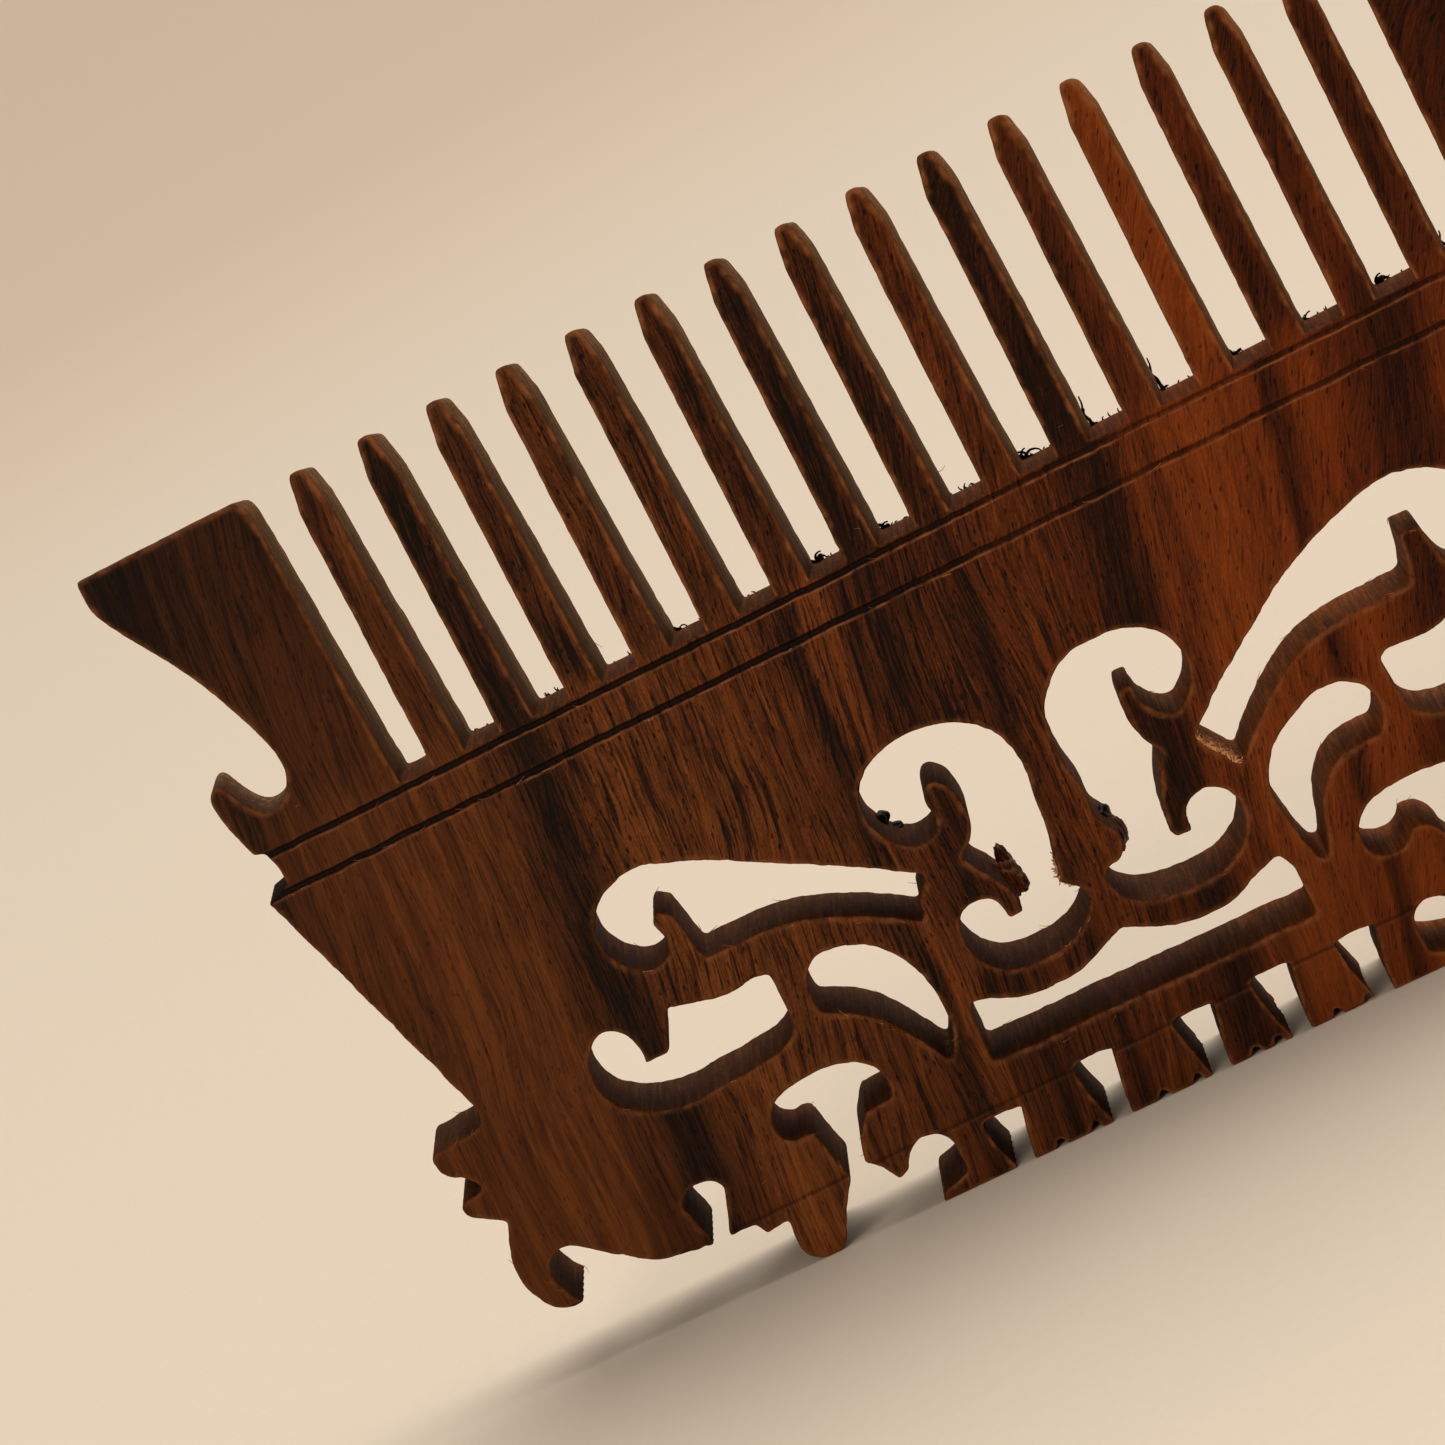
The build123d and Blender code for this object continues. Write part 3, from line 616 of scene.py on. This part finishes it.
class Splinters:
    """Strands and chips of torn wood, gathered into one mesh."""

    def __init__(self, seed):
        self.random = np.random.default_rng(seed)
        self.points = []
        self.faces = []
        self.tones = []

    def strand(self, path, root, tip, tone):
        """A closed tapering strand along a path."""
        sides = 5
        path = np.asarray(path)
        ahead = np.gradient(path, axis=0)
        across = np.cross(ahead, (0.31, 0.90, 0.17))
        across /= np.linalg.norm(across, axis=1, keepdims=True)
        other = np.cross(ahead, across)
        other /= np.linalg.norm(other, axis=1, keepdims=True)
        start = len(self.points)
        widths = np.linspace(root, tip, len(path))
        for place, first, second, width in zip(path, across, other, widths):
            for side in range(sides):
                turn = math.tau * side / sides
                reach = math.cos(turn) * first + math.sin(turn) * second
                self.points.append(place + width * reach)
                self.tones.append(tone)
        for ring in range(len(path) - 1):
            for side in range(sides):
                near = start + ring * sides + side
                far = start + ring * sides + (side + 1) % sides
                self.faces.append((near, far, far + sides, near + sides))
        last = start + (len(path) - 1) * sides
        self.faces.append(tuple(range(start + sides - 1, start - 1, -1)))
        self.faces.append(tuple(range(last, last + sides)))

    def curl(self, place, heading, bend, step, count, root, tip, tone):
        """A strand that leaves at an angle in the plane of the board and curls."""
        place = np.array(place, float)
        path = [place]
        for _ in range(count):
            heading += bend * self.random.uniform(0.4, 1.6)
            drift = self.random.uniform(-0.2, 0.2)
            place = place + step * np.array((math.cos(heading), drift, math.sin(heading)))
            path.append(place)
        self.strand(path, root, tip, tone)

    def burr(self, place, size):
        """A dark ragged knot of torn fibres, some of them hooked."""
        for _ in range(6):
            x, z = self.random.uniform((-0.35, -0.05), (0.6, 0.30)) * size
            sizes = self.random.uniform((0.13, 0.09, 0.07), (0.30, 0.22, 0.17)) * size
            seed = int(self.random.integers(10000))
            self.chip(np.add(place, (x, 0, z)), sizes, 0.08, seed, 2)
        for _ in range(4):
            x = self.random.uniform(-0.2, 0.4) * size
            heading = self.random.uniform(1.1, 2.1)
            bend = self.random.choice((-0.3, 0.3))
            step = self.random.uniform(0.10, 0.22) * size
            self.curl(np.add(place, (x, 0, 0)), heading, bend, step, 7, 0.12 * size, 0.06, 0.12)

    def standing(self, place, height):
        """A wavy torn fibre that stands close beside a tooth."""
        phase = self.random.uniform(0, 3)
        share = np.linspace(0, 1, 13)
        sway = 0.13 * np.sin(phase + 5.0 * share) + 0.05 * np.sin(2 * phase + 13.0 * share)
        path = np.stack([0.10 + sway, 0.15 * np.cos(phase + 4 * share), height * share], axis=1)
        self.strand(path + place, 0.15, 0.06, 0.14)

    def chip(self, centre, sizes, tone, seed, detail=4):
        """A ragged lump of torn wood."""
        ball = bmesh.new()
        bmesh.ops.create_icosphere(ball, subdivisions=detail, radius=1.0)
        points = np.array([vertex.co[:] for vertex in ball.verts])
        shaped = points * sizes
        ragged = 0.32 * lattice_noise(shaped * (1, 1, 0.6), 0.62, seed)
        ragged += 0.15 * lattice_noise(shaped * (1, 1, 0.5), 0.20, seed + 1)
        shaped = shaped * (1 + ragged[:, None]) + centre
        start = len(self.points)
        self.points.extend(shaped)
        self.tones.extend(tone + 0.3 * ragged)
        self.faces.extend(tuple(start + v.index for v in face.verts) for face in ball.faces)
        ball.free()

    def torn_end(self, slab, low, high, sign, count):
        """Pale fibres lying over a sawn wall that faces right or left, torn across its grain."""
        points, normals = slab["points"], slab["normals"]
        torn = np.all((points > low) & (points < high), axis=1)
        torn &= (sign * normals[:, 0] > 0.3) & (np.abs(normals[:, 1]) < 0.8)
        chosen = self.random.choice(np.flatnonzero(torn), count)
        for vertex in chosen:
            place = points[vertex] - 0.05 * normals[vertex]
            heading = math.atan2(normals[vertex, 2], normals[vertex, 0])
            heading += self.random.choice((-1.1, 1.1)) + self.random.uniform(-0.3, 0.3)
            bend = self.random.uniform(-0.2, 0.2)
            self.curl(place, heading, bend, 0.12, 4, 0.08, 0.04, self.random.uniform(1.25, 1.5))

    def fuzz(self, slab, count, back):
        """Short dark fibres along the back edges of the gullets."""
        points, normals = slab["points"], slab["normals"]
        edge = (points[:, 1] > back - 0.4) & (np.abs(points[:, 2]) < 0.5)
        edge &= (normals[:, 2] > 0.3) & (normals[:, 1] > 0.2)
        chosen = self.random.choice(np.flatnonzero(edge), count, replace=False)
        for vertex in chosen:
            heading = self.random.uniform(0.2, 2.9)
            bend = self.random.choice((-0.3, 0.3))
            step = self.random.uniform(0.04, 0.12)
            self.curl(points[vertex], heading, bend, step, 4, 0.085, 0.035,
                      self.random.uniform(0.05, 0.30))

    def fray(self, slab, count):
        """Fine orange fibres standing off the torn rims."""
        points, normals = slab["points"], slab["normals"]
        torn = (slab["layers"]["rim"] > 0.45) & (normals[:, 2] > 0.1)
        torn &= np.abs(normals[:, 1]) > 0.15
        chosen = self.random.choice(np.flatnonzero(torn), count, replace=False)
        for vertex in chosen:
            normal = normals[vertex]
            tangent = math.atan2(normal[0], -normal[2]) + self.random.choice((0, math.pi))
            heading = tangent + self.random.uniform(-0.2, 0.2)
            bend = self.random.uniform(-0.2, 0.2)
            step = self.random.uniform(0.10, 0.24)
            place = points[vertex] + 0.02 * normal
            self.curl(place, heading, bend, step, 4, 0.030, 0.012,
                      self.random.uniform(0.85, 1.15))

    def piece(self, name):
        """One object with all the strands and chips gathered so far."""
        mesh = bpy.data.meshes.new(name)
        places = np.clip(np.array(self.points) * MM + origin, cad_low, cad_high)
        mesh.from_pydata(places.tolist(), [], self.faces)
        layers = {"tone": self.tones, "rim": 0.0, "wall": 0.0, "groove_shade": 0.0}
        for layer, values in layers.items():
            data = mesh.attributes.new(layer, "FLOAT", "POINT")
            values = np.broadcast_to(np.float32(values), len(places))
            data.data.foreach_set("value", np.ascontiguousarray(values))
        work = bmesh.new()
        work.from_mesh(mesh)
        bmesh.ops.recalc_face_normals(work, faces=work.faces)
        for face in work.faces:
            face.smooth = True
        work.to_mesh(mesh)
        work.free()
        piece = bpy.data.objects.new(name, mesh)
        bpy.context.scene.collection.objects.link(piece)
        piece.data.materials.append(rosewood)
        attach(piece, "root")


# Tooth on the left of the gullet, and the size of the burr in the gullet's back corner.
BURRS = ((1, 0.4), (4, 0.6), (6, 1.1), (7, 0.9), (9, 1.2), (12, 0.8), (13, 0.6), (14, 1.1))
# Tooth and height of the long torn fibres that stand beside a tooth.
STANDING = ((10, 2.6), (10, 1.6), (11, 2.9), (11, 2.3), (15, 1.7))
# Chips: centre and half sizes in comb millimetres, tone.
CHIPS = (
    ((-8.25, 0.8, -28.7), (0.95, 2.6, 1.45), 0.58),
    ((-8.05, 1.9, -27.8), (0.50, 1.1, 1.35), 0.46),
    ((-7.65, 1.8, -29.8), (0.65, 1.2, 0.75), 0.50),
    ((-7.75, 0.2, -28.9), (0.55, 1.0, 0.50), 0.60),
    ((-15.15, 2.4, -20.35), (0.55, 0.9, 0.50), 0.04),
    ((-14.45, 2.5, -21.60), (0.60, 0.9, 0.42), 0.04),
    # painted shadow: a dark lump in the cavity above the bulge right of the centre bar, where
    # only shade falls
    ((0.42, 0.4, -27.3), (0.72, 1.7, 0.75), 0.06),
    ((0.95, 0.3, -29.1), (0.65, 2.2, 1.10), 0.50),
    ((-3.75, 0.6, -28.7), (0.45, 1.4, 0.90), 0.22),
)
# Torn end grain: corners of a box in comb millimetres, 1 where the wall faces right and -1
# where it faces left, and the number of fibres.
TORN_ENDS = (
    ((9.6, -9.0, -27.5), (12.9, -1.4, -23.9), 1, 420),
    ((-5.4, -9.0, -30.6), (-3.0, 0.6, -28.4), -1, 60),
)
RAIL_FRAY = 90                         # fine fibres on the torn rims of each slab
FRETWORK_FRAY = 240
BASE_FRAY = 40
GULLET_FUZZ = 220                      # short dark fibres in all the gullets


def build_splinters(rail, fretwork, base):
    splinters = Splinters(900)
    half_gullet = tooth_boxes[0][1].y / MM
    for tooth, size in BURRS:
        wall = (tooth_boxes[tooth - 1][1].x - origin[0]) / MM
        splinters.burr((wall + 0.25 * size, half_gullet - 0.35, 0.10), size)
    for tooth, height in STANDING:
        wall = (tooth_boxes[tooth - 1][1].x - origin[0]) / MM
        place = (wall, half_gullet - 0.4, 0.0)
        splinters.standing(place, height)
        splinters.burr(place, 0.50)
    for index, (centre, sizes, tone) in enumerate(CHIPS):
        splinters.chip(centre, sizes, tone, 700 + 5 * index)
    for low, high, sign, count in TORN_ENDS:
        splinters.torn_end(fretwork, low, high, sign, count)
    splinters.fray(rail, RAIL_FRAY)
    splinters.fray(fretwork, FRETWORK_FRAY)
    splinters.fray(base, BASE_FRAY)
    splinters.fuzz(rail, GULLET_FUZZ, half_gullet)
    splinters.piece("wood_splinters")


# ---- building the pieces ----

TOOTH_FOOT = 1.0                       # levels of the flat cuts between rows of pieces
RAIL_FOOT = -4.7
PANEL_FOOT = -12.6
BASE_TOP = -42.1
FAR = 80.0                             # past the object's ends
TEETH_VOXEL = 0.19
RAIL_VOXEL = 0.11
FRETWORK_VOXEL = 0.2
BASE_VOXEL = 0.14


def build_teeth(slab):
    step = pitch / MM
    edges = [(index - TOOTH_COUNT / 2) * step for index in range(TOOTH_COUNT + 1)]
    names = ["guard_left"] + TOOTH_NAMES + ["guard_right"]
    for name, low, high in zip(names, [-FAR] + edges, edges + [FAR]):
        box_piece(slab, "wood_" + name, (low, 0, TOOTH_FOOT), (high, 0, FAR), [name])


def build_rail(slab):
    limits = (-FAR, -27.0, 27.0, FAR)
    names = ("left", "middle", "right")
    for name, low, high in zip(names, limits, limits[1:]):
        box_piece(slab, "wood_bead_rail_" + name, (low, 0, RAIL_FOOT), (high, 0, TOOTH_FOOT),
                  ["bead_rail"])


def build_fretwork(slab):
    box_piece(slab, "wood_upper_panel", (-FAR, 0, PANEL_FOOT), (FAR, 0, RAIL_FOOT),
              ["upper_panel"])
    columns = (
        ("stile_left", -FAR, -44.5, ["stile_left"]),
        ("leaves_left", -44.5, -21.5, ["corner_left", "leaf_bar_left", "lower_bar_left"]),
        ("scroll_left", -21.5, -1.2, ["scroll_left", "cradle_left", "pillar_left",
                                      "centre_bar"]),
        ("scroll_right", -1.2, 19.1, ["scroll_right", "cradle_right", "pillar_right",
                                      "base_rail"]),
        ("leaves_right", 19.1, 42.1, ["corner_right", "leaf_bar_right", "lower_bar_right"]),
        ("stile_right", 42.1, FAR, ["stile_right"]),
    )
    for name, low, high, replaced in columns:
        box_piece(slab, "wood_" + name, (low, 0, BASE_TOP), (high, 0, PANEL_FOOT), replaced)


def build_base(slab):
    limits = (-FAR, -28.3, -1.2, 25.9, FAR)
    columns = (
        ("foot_left", ["belly_left", "leg_left"]),
        ("base_left", ["tee_block_left", "base_block_1", "base_block_2", "base_block_3"]),
        ("base_right", ["tee_block_right", "base_block_4", "base_block_5", "base_block_6"]),
        ("foot_right", ["belly_right", "leg_right"]),
    )
    for (name, replaced), low, high in zip(columns, limits, limits[1:]):
        box_piece(slab, "wood_" + name, (low, 0, -FAR), (high, 0, BASE_TOP), replaced)


teeth_slab = shaped_slab(TOOTH_FOOT, top_level, TEETH_VOXEL)
rail_slab = shaped_slab(RAIL_FOOT, TOOTH_FOOT, RAIL_VOXEL)
fretwork_slab = shaped_slab(BASE_TOP, RAIL_FOOT, FRETWORK_VOXEL)
base_slab = shaped_slab(bottom_level, BASE_TOP, BASE_VOXEL)
build_teeth(teeth_slab)
build_rail(rail_slab)
build_fretwork(fretwork_slab)
build_base(base_slab)
build_splinters(rail_slab, fretwork_slab, base_slab)


# ---- floor, light and camera ----

def make_floor():
    size = 6.0
    corners = [(-size, -size, 0), (size, -size, 0), (size, size, 0), (-size, size, 0)]
    mesh = bpy.data.meshes.new("studio_floor")
    mesh.from_pydata(corners, [], [(0, 1, 2, 3)])
    floor = bpy.data.objects.new("studio_floor", mesh)
    bpy.context.scene.collection.objects.link(floor)
    mesh.materials.append(pale_floor)


def make_light(name, place, aim, size, watts, colour):
    data = bpy.data.lights.new(name, "AREA")
    data.shape = "DISK"
    data.size = size
    data.energy = watts
    data.color = colour
    light = bpy.data.objects.new(name, data)
    light.location = place
    light.rotation_mode = "QUATERNION"
    light.rotation_quaternion = (Vector(aim) - Vector(place)).to_track_quat("-Z", "Y")
    bpy.context.scene.collection.objects.link(light)


def make_sun(name, toward, strength, spread, colour):
    data = bpy.data.lights.new(name, "SUN")
    data.energy = strength
    data.angle = math.radians(spread)
    data.color = colour
    light = bpy.data.objects.new(name, data)
    light.rotation_mode = "QUATERNION"
    light.rotation_quaternion = Vector(toward).to_track_quat("Z", "Y")
    bpy.context.scene.collection.objects.link(light)


def make_camera():
    eye = Vector((57.3, -434.0, 132.9)) * MM
    aim = Vector((-21.84, 0.0, 41.16)) * MM
    roll = math.radians(-28.3)
    data = bpy.data.cameras.new("camera")
    data.lens = 145.1
    data.sensor_width = 36.0
    data.clip_start = 0.01
    camera = bpy.data.objects.new("camera", data)
    camera.location = eye
    camera.rotation_mode = "QUATERNION"
    level = (aim - eye).to_track_quat("-Z", "Y")
    camera.rotation_quaternion = level @ Quaternion((0, 0, 1), roll)
    bpy.context.scene.collection.objects.link(camera)
    bpy.context.scene.camera = camera


make_floor()
centre = (0.0, 0.0, 0.035)
make_light("key", (-0.50, -0.95, 0.70), centre, 0.8, 4.0, (1.0, 0.95, 0.88))
make_light("side", (0.85, 0.15, 0.45), centre, 0.6, 2.5, (1.0, 0.93, 0.84))
make_sun("sky", (0.25, 0.45, 0.85), 2.6, 70.0, (1.0, 0.95, 0.88))
world = bpy.data.worlds.new("studio")
world.use_nodes = True
world.node_tree.nodes["Background"].inputs["Color"].default_value = (0.86, 0.74, 0.60, 1)
world.node_tree.nodes["Background"].inputs["Strength"].default_value = 0.25
bpy.context.scene.world = world
bpy.context.scene.view_settings.view_transform = "Standard"
make_camera()
